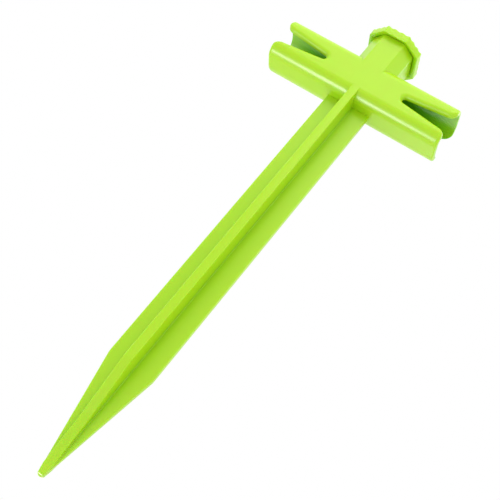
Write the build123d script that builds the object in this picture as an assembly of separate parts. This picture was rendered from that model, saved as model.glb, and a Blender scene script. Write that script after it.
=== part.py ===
from build123d import *
import os

# Tent stake: a cross-section shank with a point, a hollow T crossbar with a rope
# slot in each end, and an eight-sided post with a strike cap.
# Millimetres. The tip of the point is the origin, the blade's mid-plane is the XZ
# plane, +Z runs up to the strike cap, the crossbar runs along X and the front face
# looks along -Y.

# Overall
stake_length = 300.0        # tip to strike face
crossbar_length = 107.5     # end face to end face
reach = 12.35               # blade's mid-plane to the front of ribs, bar and post

# Shank
bar_height_on_shank = 250.0  # tip to the underside of the crossbar
blade_width = 26.2
blade_thickness = 3.2
rib_thickness = 4.7
shoulder_height = 64.0      # the blade runs parallel above this and tapers below it
shoulder_radius = 12.0
rib_nose_height = 33.0      # height at which the ribs have come down to rib_nose_reach
rib_nose_reach = 5.2        # reach of a rib at that height
tip_radius = 1.7            # rounding of the point, seen from the front and the side

# Crossbar: flat front, half-round back
bar_height = 27.7
bar_depth = 27.7            # front face to the crown of the back
bar_front_radius = 6.8      # long edges beside the front face
bar_wall = 2.8              # wall of the hollow ends
hub_margin = 0.9            # how far the solid hub stands past the blade on each side

# Rope slots, seen from the front
slot_depth = 29.25          # end face to the rounded inner end
slot_end_radius = 1.6
slot_mouth_width = 10.2     # between the straight sides, at the end face
slot_mouth_radius = 4.5     # rounding of the jaws at the end face

# Post and cap
post_width = 24.7
post_front_flat = 12.8
post_side_flat = 14.0
cap_overhang = 3.15         # how far the cap stands past the post all round
cap_front_flat = 13.8
cap_side_flat = 17.2
cap_thickness = 5.0
scallops_per_side = 3
scallop_radius = 3.2
scallop_depth = 0.55
scallop_reach = 3.0         # how far a scallop runs in from the cap's side

# How far the slot's cutter runs out past the end face
cutter_clearance = 2.0

# Worked out from the sizes above
bar_bottom = bar_height_on_shank
bar_top = bar_bottom + bar_height
bar_middle = bar_bottom + bar_height / 2
bar_end = crossbar_length / 2
bar_back = bar_depth - reach
bar_centre = bar_back - bar_depth / 2    # middle of the bar's, post's and cap's depth
hub_half = blade_width / 2 + hub_margin
cap_bottom = stake_length - cap_thickness


def taper_profile(side):
    """Outline in the XZ plane: straight between the side points, then the round tip.

    side lists (half width, height) from the top down; the other half is its mirror.
    """
    top = side[0][1]
    points = [(0, top)] + side + [(tip_radius, tip_radius)]
    with BuildSketch(Plane.XZ) as sketch:
        with BuildLine():
            Polyline(points)
            RadiusArc((tip_radius, tip_radius), (0, 0), tip_radius)
            Line((0, 0), (0, top))
        make_face()
        mirror(about=Plane.YZ)
    return sketch.sketch


def blade_outline():
    """The blade seen from the front."""
    return taper_profile([
        (blade_width / 2, bar_bottom),
        (blade_width / 2, shoulder_height),
    ])


def rib_outline():
    """The pair of ribs seen from the side."""
    return taper_profile([
        (reach, bar_bottom),
        (reach, shoulder_height),
        (rib_nose_reach, rib_nose_height),
    ])


def octagon_corners(width, depth, front_flat, side_flat):
    """Corners of an eight-sided outline about the bar's centre, counter-clockwise."""
    quarter = [(front_flat / 2, depth / 2), (width / 2, side_flat / 2)]
    front_right = [(x, bar_centre - y) for x, y in quarter]
    back_right = [(x, bar_centre + y) for x, y in reversed(quarter)]
    right = front_right + back_right
    left = [(-x, y) for x, y in reversed(right)]
    return right + left


def post_corners():
    return octagon_corners(post_width, bar_depth, post_front_flat, post_side_flat)


def cap_corners():
    return octagon_corners(
        post_width + 2 * cap_overhang, bar_depth + 2 * cap_overhang,
        cap_front_flat, cap_side_flat,
    )


def upright_prism(corners, bottom, top):
    outline = Polygon(*corners, align=None)
    return Pos(0, 0, bottom) * extrude(outline, top - bottom)


def bar_section(inset):
    """Section of the crossbar in the YZ plane, drawn in by inset on every side."""
    front = -reach + inset
    low = bar_bottom + inset
    high = bar_top - inset
    back_start = bar_back - bar_height / 2
    with BuildSketch(Plane.YZ) as sketch:
        with BuildLine():
            FilletPolyline(
                (back_start, low), (front, low), (front, high), (back_start, high),
                radius=bar_front_radius - inset,
            )
            ThreePointArc(
                (back_start, high), (bar_back - inset, bar_middle), (back_start, low)
            )
        make_face()
    return sketch.sketch


def make_blade():
    blade = extrude(blade_outline(), blade_thickness / 2, both=True)
    shoulders = [edge for edge in blade.edges().filter_by(Axis.Y)
                 if abs(edge.center().Z - shoulder_height) < 0.01]
    return fillet(shoulders, shoulder_radius)


def make_rib(side):
    """One rib, from the blade's face to its own edge; side is -1 front, +1 back."""
    both_ribs = extrude(Rot(0, 0, 90) * rib_outline(), rib_thickness / 2, both=True)
    # seen from the front a rib is no wider than the blade, which counts near the tip
    both_ribs = both_ribs & extrude(blade_outline(), reach, both=True)
    depth = reach - blade_thickness / 2
    keep = Pos(0, side * (blade_thickness / 2 + depth / 2), bar_bottom / 2)
    return both_ribs & (keep * Box(blade_width, depth, bar_bottom))


def make_hub():
    """Solid middle of the crossbar, with the rib ends and the post's foot run into it."""
    hub = extrude(bar_section(0), hub_half, both=True)
    rib_foot = Pos(0, 0, (bar_bottom + bar_middle) / 2) * Box(
        rib_thickness, 2 * reach, bar_height / 2
    )
    return hub + rib_foot + upright_prism(post_corners(), bar_middle, bar_top)


def slot_outline():
    """Rope slot in the XZ plane: round inner end, flaring sides, rounded mouth."""
    inner_end = bar_end - slot_depth
    start = inner_end + slot_end_radius
    mouth_half = slot_mouth_width / 2
    outside = bar_end + cutter_clearance
    with BuildSketch() as sketch:
        with Locations((start, 0)):
            Circle(slot_end_radius)
        Polygon(
            (start, -slot_end_radius), (bar_end, -mouth_half), (bar_end, -bar_height),
            (outside, -bar_height), (outside, bar_height), (bar_end, bar_height),
            (bar_end, mouth_half), (start, slot_end_radius),
            align=None,
        )
        mouth = [corner for corner in sketch.vertices()
                 if abs(corner.X - bar_end) < 0.01 and abs(corner.Y) < bar_height / 2]
        fillet(mouth, slot_mouth_radius)
    return Pos(0, 0, bar_middle) * Rot(90, 0, 0) * sketch.sketch


def make_grip():
    """Right-hand hollow end of the crossbar, with its rope slot."""
    length = bar_end - hub_half
    tube = Pos(hub_half, 0, 0) * extrude(bar_section(0) - bar_section(bar_wall), length)
    return tube - extrude(slot_outline(), bar_depth, both=True)


def make_cap():
    """Eight-sided strike cap with shallow scallops along its top edge."""
    corners = cap_corners()
    cap = upright_prism(corners, cap_bottom, stake_length)
    axis_height = stake_length - scallop_depth + scallop_radius
    cutter = Cylinder(scallop_radius, 2 * scallop_reach)
    for start, end in zip(corners, corners[1:] + corners[:1]):
        side = Vector(*end) - Vector(*start)
        outward = Vector(side.Y, -side.X)
        for index in range(scallops_per_side):
            place = Vector(*start) + side * ((index + 0.5) / scallops_per_side)
            place = Vector(place.X, place.Y, axis_height)
            cap = cap - Plane(origin=place, z_dir=outward) * cutter
    return cap


grip = make_grip()
nodes = {
    "blade": make_blade(),
    "front_rib": make_rib(-1),
    "back_rib": make_rib(1),
    "crossbar_hub": make_hub(),
    "right_grip": grip,
    "left_grip": mirror(grip, about=Plane.YZ),
    "hammer_post": upright_prism(post_corners(), bar_top, cap_bottom),
    "strike_cap": make_cap(),
}

os.makedirs("parts", exist_ok=True)
for name, solid in nodes.items():
    export_step(solid, f"parts/{name}.step")
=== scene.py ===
from math import asin, atan2, cos, hypot, pi, radians, sin, tan

import bpy
import numpy as np
from mathutils import Euler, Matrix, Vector


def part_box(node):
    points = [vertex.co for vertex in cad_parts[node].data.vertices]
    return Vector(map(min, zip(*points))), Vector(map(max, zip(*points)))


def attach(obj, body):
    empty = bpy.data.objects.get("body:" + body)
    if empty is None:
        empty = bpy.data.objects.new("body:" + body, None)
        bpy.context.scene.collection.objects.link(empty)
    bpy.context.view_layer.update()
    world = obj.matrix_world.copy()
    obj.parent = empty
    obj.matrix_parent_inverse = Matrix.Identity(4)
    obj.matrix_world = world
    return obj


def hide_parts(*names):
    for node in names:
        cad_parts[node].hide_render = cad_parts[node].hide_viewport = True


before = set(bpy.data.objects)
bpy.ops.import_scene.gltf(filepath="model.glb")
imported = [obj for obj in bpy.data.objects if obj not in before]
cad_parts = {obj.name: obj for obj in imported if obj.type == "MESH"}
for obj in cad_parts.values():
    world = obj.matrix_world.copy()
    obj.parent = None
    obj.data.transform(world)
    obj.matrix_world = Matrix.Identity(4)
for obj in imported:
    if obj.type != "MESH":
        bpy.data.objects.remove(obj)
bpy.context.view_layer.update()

print("frame loaded:", len(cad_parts), "CAD nodes")

metre = 1000.0   # shapes are worked out in millimetres, meshes are in metres
sharpFrom = 34   # degrees between faces, from which their edge is drawn sharp


def boxOf(node):
    # lowest and highest corner of a CAD node, in millimetres
    low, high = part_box(node)
    return np.array(low) * metre, np.array(high) * metre


def fanVolume(ring):
    # six times the volume between the origin and a fan over one closed ring
    return np.einsum("ij,ij->", np.cross(ring[1:-1] - ring[0], ring[2:] - ring[0]),
                     np.broadcast_to(ring[0], ring[2:].shape))


def addPiece(name, node, rings, joined=False, paintedShade=None):
    # rings of points, quads between neighbours; joined ends meet, other ends get one flat face each
    rows, columns = rings.shape[:2]
    index = np.arange(rows * columns).reshape(rows, columns)
    here = index if joined else index[:-1]
    there = np.roll(index, -1, axis=0) if joined else index[1:]
    quads = np.stack([here, np.roll(here, -1, axis=1), np.roll(there, -1, axis=1), there], axis=-1)
    quads = quads.reshape(-1, 4)
    ends = [] if joined else [index[0, ::-1], index[-1]]
    points = rings.reshape(-1, 3)
    corner = points[quads]
    volume = np.einsum("ij,ij->", corner[:, 0], np.cross(corner[:, 1], corner[:, 2])
                       + np.cross(corner[:, 2], corner[:, 3]))
    volume += sum(fanVolume(points[end]) for end in ends)
    if volume < 0:  # turned inside out: every face is walked the other way
        quads = quads[:, ::-1]
        ends = [end[::-1] for end in ends]
    mesh = bpy.data.meshes.new(name)
    mesh.from_pydata(points / metre, [], quads.tolist() + [end.tolist() for end in ends])
    mesh.shade_smooth()
    mesh.set_sharp_from_angle(angle=radians(sharpFrom))
    if paintedShade is not None:  # painted shade: 0 in the open, up to 1 deep inside; the finish deepens its colour by it
        mesh.attributes.new("paintedShade", "FLOAT", "POINT").data.foreach_set("value", paintedShade.ravel())
    piece = bpy.data.objects.new(name, mesh)
    bpy.context.scene.collection.objects.link(piece)
    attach(piece, "root")
    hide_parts(node)
    pieces.append(piece)
    print("piece made:", name, len(mesh.polygons), "faces")


def smoothRise(value):
    # 3 v^2 - 2 v^3, held between 0 and 1, so both ends are level
    held = np.clip(value, 0, 1)
    return held * held * (3 - 2 * held)


def arc(start, end, count):
    # even angles from start to end, given in degrees and used in radians
    return np.radians(np.linspace(start, end, count))


pieces = []

# the shank is a blade with a rib down each face
shank = {
    "shoulderBlend": 2.2,   # length over which the straight sides turn into the taper
    "blendFrom": 8.0,       # height above the point where that blend starts
    "tipRadius": 1.7,
    "tipHalfThickness": 1.1,
    "bladeEdge": 0.45,      # rounding of the blade's long edges
    "ribEdge": 0.45,        # rounding of the ribs' outer edges
    "ribRoot": 0.4,         # hollow rounding where a rib meets the blade
    "rootShade": 0.42,      # painted shade: how much the colour deepens along that root
    "rootShadeReach": 1.7,  # how far from the root that is down to about a third
    "shoulder": 64.0,       # height where the sides start to taper
    "nose": (33.0, 5.2),    # height and reach where the ribs turn towards the point
    "intoHub": 0.8,         # how far the blade runs up inside the crossbar
    "backRibExtra": 1.2,    # how much farther up the back rib runs than the front one
}
bladeHigh = boxOf("blade")[1]
ribLow, ribHigh = boxOf("front_rib")
hubLow, hubHigh = boxOf("crossbar_hub")
reach = -ribLow[1]
shankTop = bladeHigh[2]


def taperedHalf(height, heights, halves):
    # straight lines between the given points, averaged over a short window, inside the round tip
    window = np.linspace(-0.5, 0.5, 11)[:, None] * shank["shoulderBlend"]
    lines = np.interp(height + window * (height > shank["blendFrom"]), heights, halves).mean(axis=0)
    radius = shank["tipRadius"]
    tip = np.sqrt(np.maximum(radius**2 - (radius - np.minimum(height, radius))**2, 0.0004))
    return np.where(height < radius, np.minimum(lines, tip), lines)


def bladeHalfWidth(height):
    # straight from the tip out to the shoulder, then full width to the top
    return taperedHalf(height, [shank["tipRadius"], shank["shoulder"], shankTop],
                       [shank["tipRadius"], bladeHigh[0], bladeHigh[0]])


def ribReach(height):
    # straight from the tip to the nose, from there to the shoulder, then level to the top
    noseHeight, noseReach = shank["nose"]
    return taperedHalf(height, [shank["tipRadius"], noseHeight, shank["shoulder"], shankTop],
                       [shank["tipRadius"], noseReach, reach, reach])


def bladeHalfThickness(height):
    # thins evenly from the shoulder down to the point, and is never thicker than wide
    tapered = np.interp(height, [0, shank["shoulder"]], [shank["tipHalfThickness"], bladeHigh[1]])
    return np.minimum(tapered, bladeHalfWidth(height) * 0.97)


def shankHeights(top):
    # r (1 - cos t) round the tip, then even steps below, at and above the shoulder, closest at it
    shoulder = shank["shoulder"]
    tip = shank["tipRadius"] * (1 - np.cos(arc(8, 90, 12)))
    below = np.linspace(shank["tipRadius"] + 0.5, shoulder - 4, 70)
    beside = np.linspace(shoulder - 3, shoulder + 3, 16)
    above = np.linspace(shoulder + 8, top, 40)
    return np.concatenate([tip, below, beside, above])


def rootShade(gap, height):
    # painted shade times e^(-gap / reach), times a smooth rise from the point up to the nose
    near = np.exp(-np.maximum(gap, 0) / shank["rootShadeReach"])
    return shank["rootShade"] * near * smoothRise(height / shank["nose"][0])[:, None]


def makeBlade():
    # rounded rectangle at every height: four corner arcs joined by flat faces, sampled across
    height = shankHeights(shankTop + shank["intoHub"])
    wide = bladeHalfWidth(height)[:, None]
    thick = bladeHalfThickness(height)[:, None]
    edge = np.minimum(shank["bladeEdge"], 0.6 * thick)
    turn = arc(0, 90, 5)
    across = np.linspace(1, -1, 42)[1:-1]
    quarterX = wide - edge * (1 - np.cos(turn))
    quarterY = thick - edge * (1 - np.sin(turn))
    faceX = (wide - edge) * across
    faceY = np.broadcast_to(thick, faceX.shape)
    x = np.concatenate([quarterX, faceX, -quarterX[:, ::-1]], axis=1)
    y = np.concatenate([quarterY, faceY, quarterY[:, ::-1]], axis=1)
    x = np.concatenate([x, -x], axis=1)
    y = np.concatenate([y, -y], axis=1)
    z = np.broadcast_to(height[:, None], x.shape)
    # painted shade on the blade's faces beside the ribs' roots
    paintedShade = rootShade(np.abs(x) - ribHigh[0], height)
    addPiece("bladePlate", "blade", np.stack([x, y, z], axis=-1), paintedShade=paintedShade)


def makeRib(name, node, side, top):
    # half outline from the blade outwards: hollow root, flat flank, rounded edge,
    # mirrored in x and run up the shank
    height = shankHeights(top)
    outer = ribReach(height)[:, None]
    wide = bladeHalfWidth(height)[:, None]
    half = np.minimum(ribHigh[0], 0.95 * wide)
    face = np.minimum(bladeHalfThickness(height)[:, None], 0.6 * outer)
    root = np.clip(np.minimum(0.8 * (wide - half), 0.3 * (outer - face)), 0.01, shank["ribRoot"])
    edge = np.minimum(shank["ribEdge"], 0.3 * (outer - face))
    hollow, bend = arc(0, 90, 6), arc(0, 90, 5)
    flank = np.linspace(0, 1, 12)[1:-1] ** 1.3
    x = np.concatenate([half + root, half + root * (1 - np.sin(hollow)), half + 0 * flank,
                        half - edge * (1 - np.cos(bend))], axis=1)
    y = np.concatenate([0 * face, face + root * (1 - np.cos(hollow)),
                        face + root + (outer - edge - face - root) * flank,
                        outer - edge * (1 - np.sin(bend))], axis=1)
    x = np.concatenate([x, -x[:, ::-1]], axis=1)
    y = np.concatenate([y, y[:, ::-1]], axis=1) * side
    z = np.broadcast_to(height[:, None], x.shape)
    # painted shade on the rib's flank, deepest at the root and fading towards the edge
    paintedShade = rootShade(np.abs(y) - face - root, height)
    addPiece(name, node, np.stack([x, y, z], axis=-1), paintedShade=paintedShade)


# the crossbar has a flat front with round long edges, a half-round back and hollow slotted ends
crossbar = {
    "frontRadius": 6.8,    # rounding of the two long front edges
    "wall": 2.8,
    "slotDepth": 29.25,    # from the end face to the slot's round inner end
    "slotEndRadius": 1.6,
    "frontMouthHalf": 5.1,  # from the slot's middle line to its side, at the end face
    "frontJawRadius": 4.5,  # rounding of the two jaws beside the mouth
    "backMouthHalf": 8.6,
    "backJawRadius": 6.5,
    "slotLip": 2.7,        # rounding from the outer skin down into the slot
    "endLip": 1.5,         # the same at the end face
    "nearEdge": 3.2,       # strip beside the edge where rings stand close together
    "shadeReach": 22.0,    # painted shade on the inner wall: from half deep at the end face, it is full this far in
    "ringsNearEdge": 14,   # rings of points along the outer skin beside the edge
    "ringsOutside": 44,    # along the rest of the outer skin
    "ringsInside": 30,     # and along the inner skin
}
barEnd = boxOf("right_grip")[1][0]
hubEnd = hubHigh[0]
barMiddle = (hubLow[2] + hubHigh[2]) / 2
backRadius = (hubHigh[2] - hubLow[2]) / 2
frontFlat = backRadius - crossbar["frontRadius"]
cornerLength = crossbar["frontRadius"] * pi / 2
topFlat = hubHigh[1] - backRadius - hubLow[1] - crossbar["frontRadius"]
halfAround = frontFlat + cornerLength + topFlat + backRadius * pi / 2


def barSection(around):
    # D outline by distance from the middle of the front: flat, quarter round, flat, then the half-round
    upper = np.where(around < 0, -1.0, 1.0)
    distance = np.abs(around)
    corner = np.clip((distance - frontFlat) / crossbar["frontRadius"], 0, pi / 2)
    along = np.clip(distance - frontFlat - cornerLength, 0, topFlat)
    back = np.clip((distance - frontFlat - cornerLength - topFlat) / backRadius, 0, pi / 2)
    y = (hubLow[1] + crossbar["frontRadius"] * (1 - np.cos(corner)) + along
         + backRadius * np.sin(back))
    z = (np.minimum(distance, frontFlat) + crossbar["frontRadius"] * np.sin(corner)
         - backRadius * (1 - np.cos(back)))
    turn = corner + back
    return y, barMiddle + upper * z, np.cos(turn), -upper * np.sin(turn)


def slotShape(mouthHalf, jawRadius):
    # a slot along x: round inner end, straight side at a tilt, jaw arc, then the end face
    endRadius = crossbar["slotEndRadius"]
    start = barEnd - crossbar["slotDepth"] + endRadius
    length = barEnd - start
    tilt = atan2(mouthHalf, length) - asin(endRadius / hypot(mouthHalf, length))
    sideX, sideUp = start - endRadius * sin(tilt), endRadius * cos(tilt)
    jawX = barEnd - jawRadius
    jawUp = sideUp + (jawRadius + (jawX - sideX) * sin(tilt)) / cos(tilt)
    return {"start": start, "tilt": tilt, "endRadius": endRadius, "sideX": sideX, "sideUp": sideUp,
            "jawRadius": jawRadius, "jawX": jawX, "jawUp": jawUp,
            "jawFoot": jawUp - jawRadius * cos(tilt)}


frontSlot = slotShape(crossbar["frontMouthHalf"], crossbar["frontJawRadius"])
backSlot = slotShape(crossbar["backMouthHalf"], crossbar["backJawRadius"])


def slotEdge(up, slot):
    # x of the opening's edge at a distance up from the slot's middle line
    inner = slot["start"] - np.sqrt(np.maximum(slot["endRadius"]**2 - up**2, 0))
    side = slot["sideX"] + (up - slot["sideUp"]) / tan(slot["tilt"])
    jaw = slot["jawX"] + np.sqrt(np.maximum(slot["jawRadius"]**2 - (up - slot["jawUp"])**2, 0))
    return np.select([up < slot["sideUp"], up < slot["jawFoot"], up < slot["jawUp"]],
                     [inner, side, jaw], barEnd)


def slotDistance(x, up, slot):
    # distance to that edge: least of side and end face, with the inner end and the jaw as arcs
    along, across = cos(slot["tilt"]), sin(slot["tilt"])
    side = (up - slot["sideUp"]) * along - (x - slot["sideX"]) * across
    inner = np.hypot(x - slot["start"], up) - slot["endRadius"]
    side = np.where((x - slot["start"]) * along + up * across < 0, inner, side)
    jaw = slot["jawRadius"] - np.hypot(x - slot["jawX"], up - slot["jawUp"])
    atJaw = (x - slot["jawX"]) * along + (up - slot["jawUp"]) * across > 0
    return np.maximum(np.where(atJaw & (up < slot["jawUp"]), jaw, np.minimum(side, barEnd - x)), 0)


def slotSamples(slot):
    # places up from the slot's middle line that are even along its edge
    inner = slot["endRadius"] * np.sin(arc(0, 82, 10))
    side = np.linspace(slot["sideUp"], slot["jawFoot"], 32)
    jaw = slot["jawUp"] - slot["jawRadius"] * np.cos(np.linspace(slot["tilt"], pi / 2, 26))[1:]
    return np.concatenate([inner, side, jaw])


def barAround():
    # places round the section: close along both slots' edges, even over the rest
    between = np.linspace(frontSlot["jawUp"], halfAround - backSlot["jawUp"], 40)[1:-1]
    half = np.concatenate([slotSamples(frontSlot), between, halfAround - slotSamples(backSlot)[::-1]])
    return np.concatenate([half, -half[-2:0:-1]])


def makeGrip(name, node, side):
    # outer skin out to the edge, sinking by a quarter round at the lip, over the edge, inner skin back
    around = barAround()
    inFront = np.abs(around) < halfAround / 2
    up = np.where(inFront, np.abs(around), halfAround - np.abs(around))
    edge = np.where(inFront, slotEdge(up, frontSlot), slotEdge(up, backSlot))
    strip = crossbar["nearEdge"]
    close = strip * (1 - np.cos(arc(0, 90, crossbar["ringsNearEdge"])))[:, None]
    farther = strip + (edge - hubEnd - strip) * np.linspace(0, 1, crossbar["ringsOutside"])[1:, None]
    outerX = edge - np.concatenate([close + 0 * edge, farther])[::-1]
    distance = np.where(inFront, slotDistance(outerX, up, frontSlot),
                        slotDistance(outerX, up, backSlot))
    jawFoot = np.where(inFront, frontSlot["jawFoot"], backSlot["jawFoot"])
    jawUp = np.where(inFront, frontSlot["jawUp"], backSlot["jawUp"])
    share = smoothRise((up - jawFoot) / (jawUp - jawFoot))
    lip = crossbar["slotLip"] * (1 - share) + crossbar["endLip"] * share
    sunk = np.maximum(lip - distance, 0)
    outerDepth = lip - np.sqrt(np.maximum(lip**2 - sunk**2, 0))
    innerShare = np.linspace(0, 1, crossbar["ringsInside"])[:, None] ** 1.5  # closer beside the edge
    innerX = edge + (hubEnd - edge) * innerShare
    x = np.concatenate([outerX, innerX])
    depth = np.concatenate([outerDepth, np.full_like(innerX, crossbar["wall"])])
    y, z, inY, inZ = barSection(around)
    rings = np.stack([side * x, y + depth * inY, z + depth * inZ], axis=-1)
    # painted shade on the inner skin, deeper the further in from the end face
    inside = smoothRise((barEnd + crossbar["shadeReach"] - innerX) / crossbar["shadeReach"] / 2)
    paintedShade = np.concatenate([0 * outerX, inside])
    addPiece(name, node, rings, joined=True, paintedShade=paintedShade)


def makeHub():
    # the same section carried straight through; the walls behind the hollow grips get the full painted
    # shade
    around = barAround()
    y, z, inY, inZ = barSection(around)
    inside = np.array([[1.0], [0.0], [0.0], [1.0]])
    depth = crossbar["wall"] * inside
    x = np.array([[-hubEnd], [-hubEnd], [hubEnd], [hubEnd]]) + 0 * around
    rings = np.stack([x, y + depth * inY, z + depth * inZ], axis=-1)
    addPiece("crossbarMiddle", "crossbar_hub", rings, paintedShade=inside + 0 * around)


# the post and the strike cap are eight-sided
post = {
    "frontFlatHalf": 6.4,  # half the length of the flats in front and behind
    "sideFlatHalf": 7.0,   # and of the flats at the sides
    "edgeRadius": 0.9,
    "tuck": 0.02,          # how far the front stays behind the crossbar's face where they overlap
    "intoCap": 1.0,        # how far it runs up inside the cap
}
strikeCap = {
    "frontFlatHalf": 6.9,
    "sideFlatHalf": 8.6,
    "cornerRadius": 1.0,
    "leastCornerRadius": 0.5,
    "rimFlat": 0.35,       # narrow land round the hollow underside
    "hollow": 1.3,         # how far the underside rises from that land to the post
    "lowerEdge": 0.3,      # rounding of the rim below
    "upperEdge": 0.8,      # and above
    "waves": 3,            # shallow dips along each side of the top edge
    "waveDepth": 0.55,
    "waveReach": 3.4,      # how far in from the rim a dip runs out
    "perSide": 36,         # points along a side, and round a corner
    "perCorner": 7,
}
postLow, postHigh = boxOf("hammer_post")
capLow, capHigh = boxOf("strike_cap")
postCentre = (postLow[1] + postHigh[1]) / 2
octagonSlope = tan(pi / 8)


def octagonRing(halfX, halfY, flatX, flatY, radius, perSide, perCorner):
    # eight corner arcs joined by straight sides; also gives how far along its side each point is
    x = np.array([flatX, halfX, halfX, flatX, -flatX, -halfX, -halfX, -flatX])
    y = np.array([-halfY, -flatY, flatY, halfY, halfY, flatY, -flatY, -halfY])
    corner = np.stack([x, y], axis=-1)
    step = np.roll(corner, -1, axis=0) - corner
    length = np.linalg.norm(step, axis=1)[:, None]
    heading = np.unwrap(np.arctan2(step[:, 1], step[:, 0]))
    before = np.roll(heading, 1)
    before[0] -= 2 * pi
    turn = (heading - before)[:, None]
    trim = radius * np.tan(turn / 2)
    swing = before[:, None] - pi / 2 + turn * np.linspace(0, 1, perCorner)
    towards = step / length
    start = corner + towards * trim
    centre = start + radius * np.stack([-towards[:, 1], towards[:, 0]], axis=-1)
    bend = centre[:, None] + radius * np.stack([np.cos(swing), np.sin(swing)], axis=-1)
    share = np.linspace(0, 1, perSide + 2)[None, 1:-1, None]
    straight = length - trim - np.roll(trim, -1, axis=0)
    flat = start[:, None] + towards[:, None] * straight[:, None] * share
    ring = np.concatenate([bend, flat], axis=1)
    along = np.einsum("ijk,ik->ij", ring - corner[:, None], towards) / length
    return ring.reshape(-1, 2), along.reshape(-1)


def makePost():
    # rounded octagon carried straight up from inside the crossbar into the cap
    size = (postHigh[0], (postHigh[1] - postLow[1]) / 2)
    ring, _ = octagonRing(*size, post["frontFlatHalf"], post["sideFlatHalf"], post["edgeRadius"], 6, 6)
    clear = hubHigh[2] - crossbar["frontRadius"]
    free = np.linspace(clear + 2, capLow[2] + post["intoCap"], 12)
    height = np.array([barMiddle, clear - 0.5, clear, clear + 0.4, *free])
    tuck = np.where(height < clear, post["tuck"], 0)[:, None]
    x = np.broadcast_to(ring[:, 0], (len(height), len(ring)))
    y = postCentre + np.maximum(ring[:, 1], tuck - size[1])
    z = np.broadcast_to(height[:, None], x.shape)
    addPiece("hammerPost", "hammer_post", np.stack([x, y, z], axis=-1))


def makeCap():
    # profile of inset and height carried round the octagon; the top edge dips by a raised cosine
    overhang = capHigh[0] - postHigh[0]
    thickness = capHigh[2] - capLow[2]
    out = np.linspace(0, 1, 10)
    low, high = strikeCap["lowerEdge"], strikeCap["upperEdge"]
    turn = arc(0, 90, 6)
    rim = strikeCap["rimFlat"] + low
    inward = np.linspace(high, strikeCap["waveReach"], 12)[1:]
    inset = np.concatenate([[overhang + 1], overhang + (rim - overhang) * out, low * (1 - np.sin(turn)),
                            high * (1 - np.cos(turn)), inward])
    height = np.concatenate([[strikeCap["hollow"] + 0.6], strikeCap["hollow"] * (1 - out) ** 1.8,
                             low * (1 - np.cos(turn)), thickness - high * (1 - np.sin(turn)),
                             thickness + 0 * inward])
    dip = np.concatenate([0 * out, [0], 0 * turn, 1 + 0 * turn,
                          1 - smoothRise((inward - high) / (strikeCap["waveReach"] - high))])
    rings = []
    for gap, rise, share in zip(inset, height, dip):
        ring, along = octagonRing(
            capHigh[0] - gap, (capHigh[1] - capLow[1]) / 2 - gap,
            strikeCap["frontFlatHalf"] - gap * octagonSlope,
            strikeCap["sideFlatHalf"] - gap * octagonSlope,
            max(strikeCap["cornerRadius"] - gap, strikeCap["leastCornerRadius"]),
            strikeCap["perSide"], strikeCap["perCorner"])
        wave = strikeCap["waveDepth"] * (0.5 - 0.5 * np.cos(2 * pi * strikeCap["waves"] * along))
        rings.append(np.column_stack([ring[:, 0], postCentre + ring[:, 1],
                                      capLow[2] + rise - share * wave]))
    addPiece("strikeCap", "strike_cap", np.array(rings))


makeBlade()
makeRib("frontRib", "front_rib", -1, hubLow[2] + crossbar["frontRadius"])
makeRib("backRib", "back_rib", 1, hubLow[2] + crossbar["frontRadius"] + shank["backRibExtra"])
makeHub()
makeGrip("rightGrip", "right_grip", 1)
makeGrip("leftGrip", "left_grip", -1)
makePost()
makeCap()


class Wire:
    # one output socket; an expression on it adds the Math nodes that work it out
    def __init__(self, finish, socket):
        self.finish, self.socket = finish, socket

    def math(self, operation, first, second):
        return self.finish.node("ShaderNodeMath", {"operation": operation}, {0: first, 1: second})

    def __add__(self, other): return self.math("ADD", self, other)
    def __radd__(self, other): return self.math("ADD", other, self)
    def __sub__(self, other): return self.math("SUBTRACT", self, other)
    def __rsub__(self, other): return self.math("SUBTRACT", other, self)
    def __mul__(self, other): return self.math("MULTIPLY", self, other)
    def __rmul__(self, other): return self.math("MULTIPLY", other, self)


class Finish:
    # the nodes of a material or a world; node() takes a type, its settings, then socket values or links
    def __init__(self, owner):
        owner.use_nodes = True
        self.owner, self.tree = owner, owner.node_tree
        self.tree.nodes.clear()

    def node(self, kind, settings=None, values=None, output=0):
        made = self.tree.nodes.new(kind)
        for key, value in (settings or {}).items():
            setattr(made, key, value)
        for key, value in (values or {}).items():
            if isinstance(value, Wire):
                self.tree.links.new(value.socket, made.inputs[key])
            else:
                made.inputs[key].default_value = value
        return Wire(self, made.outputs[output]) if len(made.outputs) else None


limeLook = {
    "base": (0.362, 0.620, 0.0045, 1.0),
    "paler": (0.382, 0.640, 0.0065, 1.0),
    "inner": (0.120, 0.430, 0.0004, 1.0),  # painted shade colour: deep inside the hollow ends, and mixed in along the roots
    "worn": (0.46, 0.70, 0.03, 1.0),       # where handling has rubbed it
    "roughness": 0.31,
    "glow": 0.3,           # share of light that goes into the plastic and comes out nearby
    "glowReach": (0.5, 2.2, 0.1),  # millimetres it travels, by colour
    "flowScale": 28.0,
    "grainScale": 1400.0,
    "scuffScale": 160.0,
    "wearShare": 0.04,     # how far a full scuff turns to the worn colour
    "flowDrawn": 0.35,     # scale of the drift along the shank: less draws it out longer
    "scuffRange": (0.60, 0.74),  # streak noise below the first is clean, above the second is scuffed
    "driftRoughness": 0.05,
    "grainRoughness": 0.05,
    "scuffRoughness": 0.08,
    "bump": 0.06,
    "bumpDepth": 0.0001,   # metres
    "scuffStretch": (1, 1, 6),
    "scuffTurn": (0.4, 0.9, 0.2),
    "refraction": 1.46,
}


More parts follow.
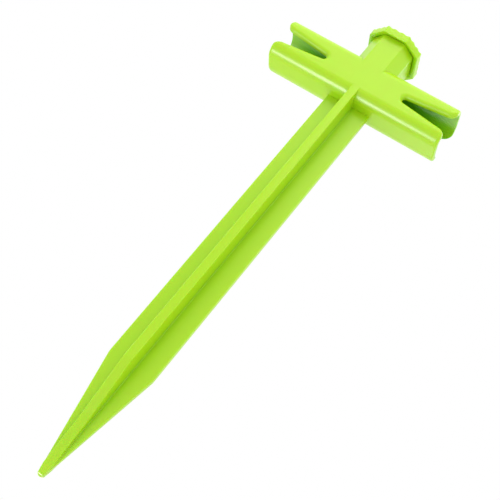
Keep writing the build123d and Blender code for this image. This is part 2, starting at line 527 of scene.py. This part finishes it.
def limePlastic():
    look = limeLook
    finish = Finish(bpy.data.materials.new("limePlastic"))
    place = finish.node("ShaderNodeTexCoord", output="Object")
    # slow drift of shade left by the melt: soft noise stretched along the shank
    drawn = finish.node("ShaderNodeMapping", None, {
        "Vector": place, "Scale": (1, 1, look["flowDrawn"])})
    flow = finish.node("ShaderNodeTexNoise", None, {
        "Vector": drawn, "Scale": look["flowScale"], "Detail": 3.0, "Roughness": 0.5})
    # mould texture: fine even noise
    grain = finish.node("ShaderNodeTexNoise", None, {
        "Vector": place, "Scale": look["grainScale"], "Detail": 2.0, "Roughness": 0.6})
    # handling scuffs: thin streaks, kept only where a noise runs high
    clean, scuffed = look["scuffRange"]
    streaked = finish.node("ShaderNodeMapping", None, {
        "Vector": place, "Scale": look["scuffStretch"], "Rotation": look["scuffTurn"]})
    streak = finish.node("ShaderNodeTexNoise", None, {
        "Vector": streaked, "Scale": look["scuffScale"], "Detail": 4.0, "Roughness": 0.7})
    scuff = finish.node("ShaderNodeMapRange", {"interpolation_type": "SMOOTHSTEP"}, {
        "Value": streak, "From Min": clean, "From Max": scuffed})
    wear = scuff * look["wearShare"]
    shade = finish.node("ShaderNodeMix", {"data_type": "RGBA"}, {
        "Factor": flow, 6: look["base"], 7: look["paler"]}, output=2)
    rubbedShade = finish.node("ShaderNodeMix", {"data_type": "RGBA"}, {
        "Factor": wear, 6: shade, 7: look["worn"]}, output=2)
    # painted shade: deeper colour on the inner wall, the further in it lies, and along the ribs' roots
    paintedShade = finish.node("ShaderNodeAttribute", {"attribute_name": "paintedShade"}, output="Fac")
    colour = finish.node("ShaderNodeMix", {"data_type": "RGBA"}, {
        "Factor": paintedShade, 6: rubbedShade, 7: look["inner"]}, output=2)
    roughness = (look["roughness"] + (flow - 0.5) * look["driftRoughness"]
                 + (grain - 0.5) * look["grainRoughness"] + scuff * look["scuffRoughness"])
    relief = grain * 0.7 + streak * 0.3
    bumped = finish.node("ShaderNodeBump", None, {
        "Height": relief, "Strength": look["bump"], "Distance": look["bumpDepth"]})
    shader = finish.node("ShaderNodeBsdfPrincipled", None, {
        "Base Color": colour, "Roughness": roughness, "IOR": look["refraction"], "Normal": bumped,
        "Subsurface Weight": look["glow"], "Subsurface Radius": look["glowReach"],
        "Subsurface Scale": 1 / metre})
    finish.node("ShaderNodeOutputMaterial", None, {"Surface": shader})
    return finish.owner


limeFinish = limePlastic()
for shown in [*pieces, *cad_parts.values()]:
    shown.data.materials.clear()
    shown.data.materials.append(limeFinish)
print("finish given to", len(pieces), "pieces")


# the camera, the white surroundings, and the sphere that the diffusers stand on
studio = {
    "camera": (0.1422, -0.4150, -0.0359),
    "turn": (118.536, -35.898, 0.157),  # degrees about x, y and z
    "lens": 68.09,
    "sensor": 36,
    "fill": 0.80,          # the white surroundings as rough surfaces meet them
    "mirrored": 1.2,       # and as gloss reflects them
    "aimedAt": (0, 0, 0.2),
    "diffuserSize": 0.8,
    "diffuserDistance": 1.0,
}

# large diffusers: degrees round from the front, degrees up, watts, whether gloss shows them
diffusers = {
    "frontTop": (0, 45, 2.3, True),
    "leftTop": (-50, 45, 3.2, False),
    "rightTop": (50, 45, 0.7, False),
    "right": (45, 5, 1.6, False),
    "farLeftBelow": (-90, -45, 3.4, False),
    "backRight": (120, 45, 2.6, True),
    "top": (0, 90, 2.8, False),
    "backBelow": (170, -38, 2.2, True),
}

# a small soft box that draws the narrow highlight along the crossbar's lower front edge
edgeBox = {
    "place": (-0.17, -0.24, -0.28),
    "aimedAt": (0, 0, 0.26),
    "size": 0.24,
    "power": 2.9,
}


def makeCamera():
    # the camera stands still, in metres, and is turned about x, then y, then z
    data = bpy.data.cameras.new("camera")
    data.lens = studio["lens"]
    data.sensor_width = studio["sensor"]
    camera = bpy.data.objects.new("camera", data)
    camera.location = studio["camera"]
    camera.rotation_euler = Euler([radians(angle) for angle in studio["turn"]])
    bpy.context.scene.collection.objects.link(camera)
    bpy.context.scene.camera = camera


def makeSoftBox(name, place, aimedAt, size, power, glossy=True, lit=True):
    # round area lamp; glossy says whether gloss shows it, lit whether rough surfaces catch it
    data = bpy.data.lights.new(name, "AREA")
    data.shape = "DISK"
    data.size = size
    data.energy = power
    box = bpy.data.objects.new(name, data)
    box.location = place
    aim = Vector(aimedAt) - Vector(place)
    box.rotation_euler = aim.to_track_quat("-Z", "Y").to_euler()
    box.visible_camera = False
    box.visible_glossy = glossy
    box.visible_diffuse = lit
    bpy.context.scene.collection.objects.link(box)


def makeDiffusers():
    # centre + distance (cos e sin a, -cos e cos a, sin e): a sphere round the head of the stake
    centre = np.array(studio["aimedAt"])
    for name, (turned, raised, power, glossy) in diffusers.items():
        turned, raised = radians(turned), radians(raised)
        towards = np.array([cos(raised) * sin(turned), -cos(raised) * cos(turned), sin(raised)])
        place = centre + studio["diffuserDistance"] * towards
        makeSoftBox(name, place.tolist(), studio["aimedAt"], studio["diffuserSize"], power, glossy)


def makeWorld():
    # white behind the object; what it gives to gloss and to rough surfaces is set apart
    world = Finish(bpy.data.worlds.new("studioWhite"))
    seen, mirrored, fill = [
        world.node("ShaderNodeBackground", None, {"Color": (1, 1, 1, 1), "Strength": strength})
        for strength in (1.0, studio["mirrored"], studio["fill"])]
    glossyRay = world.node("ShaderNodeLightPath", output="Is Glossy Ray")
    diffuseRay = world.node("ShaderNodeLightPath", output="Is Diffuse Ray")
    gloss = world.node("ShaderNodeMixShader", None, {0: glossyRay, 1: seen, 2: mirrored})
    rough = world.node("ShaderNodeMixShader", None, {0: diffuseRay, 1: gloss, 2: fill})
    world.node("ShaderNodeOutputWorld", None, {"Surface": rough})
    bpy.context.scene.world = world.owner
    bpy.context.scene.view_settings.view_transform = "Standard"


floorPaper = {
    "height": -0.6,
    "half": 9.0,           # half its side, in metres
    "glow": 0.12,          # brings the far floor nearer to the white of the surroundings
    "fibreScale": 40.0,
    "darker": (0.90, 0.90, 0.89, 1),
    "lighter": (0.93, 0.93, 0.92, 1),
}


def makeFloor():
    # one square of pale paper, and noise that barely changes its white
    half, level = floorPaper["half"], floorPaper["height"]
    mesh = bpy.data.meshes.new("floor")
    corners = [(-half, -half, level), (half, -half, level), (half, half, level), (-half, half, level)]
    mesh.from_pydata(corners, [], [(0, 1, 2, 3)])
    floor = bpy.data.objects.new("floor", mesh)
    bpy.context.scene.collection.objects.link(floor)
    paper = Finish(bpy.data.materials.new("palePaper"))
    place = paper.node("ShaderNodeTexCoord", output="Object")
    fibre = paper.node("ShaderNodeTexNoise", None, {
        "Vector": place, "Scale": floorPaper["fibreScale"], "Detail": 4.0})
    tint = paper.node("ShaderNodeMix", {"data_type": "RGBA"}, {
        "Factor": fibre, 6: floorPaper["darker"], 7: floorPaper["lighter"]}, output=2)
    shader = paper.node("ShaderNodeBsdfPrincipled", None, {
        "Base Color": tint, "Roughness": 0.9,
        "Emission Color": (1, 1, 1, 1), "Emission Strength": floorPaper["glow"]})
    paper.node("ShaderNodeOutputMaterial", None, {"Surface": shader})
    mesh.materials.append(paper.owner)


makeCamera()
makeWorld()
makeDiffusers()
makeSoftBox("edgeBox", edgeBox["place"], edgeBox["aimedAt"], edgeBox["size"], edgeBox["power"],
            lit=False)
makeFloor()
print("studio ready")
